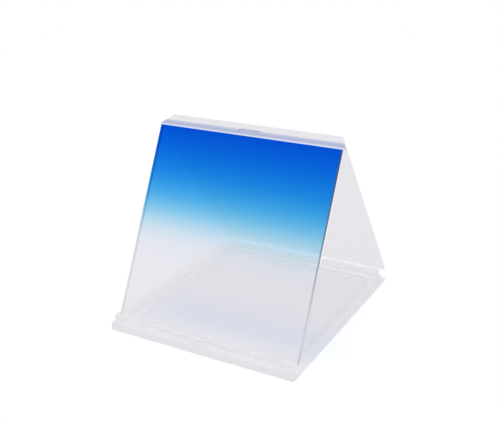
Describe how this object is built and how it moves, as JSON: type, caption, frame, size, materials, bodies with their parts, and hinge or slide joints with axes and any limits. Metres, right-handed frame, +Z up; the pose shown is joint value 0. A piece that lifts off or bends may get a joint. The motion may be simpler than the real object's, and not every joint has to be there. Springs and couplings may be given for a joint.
{
  "type": "square graduated color filter",
  "caption": "Square slot-in resin filter fading from blue to clear, leaning across its own opened clear hinged case, which stands it up.",
  "frame": {"origin": "on the table, below the middle of the whole part's bounding box", "axes": "+Z up, +X across the filter to the right as seen from the front, +Y from the filter back to the folds"},
  "size_m": [0.0858, 0.098, 0.0823],
  "materials": {
    "dyed_resin": "polished",
    "clear_case": "smooth"
  },
  "bodies": {
    "tray": {"case_base": "clear_case", "filter_plate": "dyed_resin"},
    "strip": {"hinge_strip": "clear_case"},
    "lid": {"case_lid": "clear_case"}
  },
  "joints": [
    {"name": "rear_fold", "type": "hinge", "parent": "tray", "child": "strip", "pos_m": [0, 0.0484, 0.0003], "axis": [-1, 0, 0], "range_deg": [0, 90]},
    {"name": "lid_fold", "type": "hinge", "parent": "strip", "child": "lid", "pos_m": [0, 0.0484, 0.00525], "axis": [-1, 0, 0], "range_deg": [0, 120]}
  ]
}
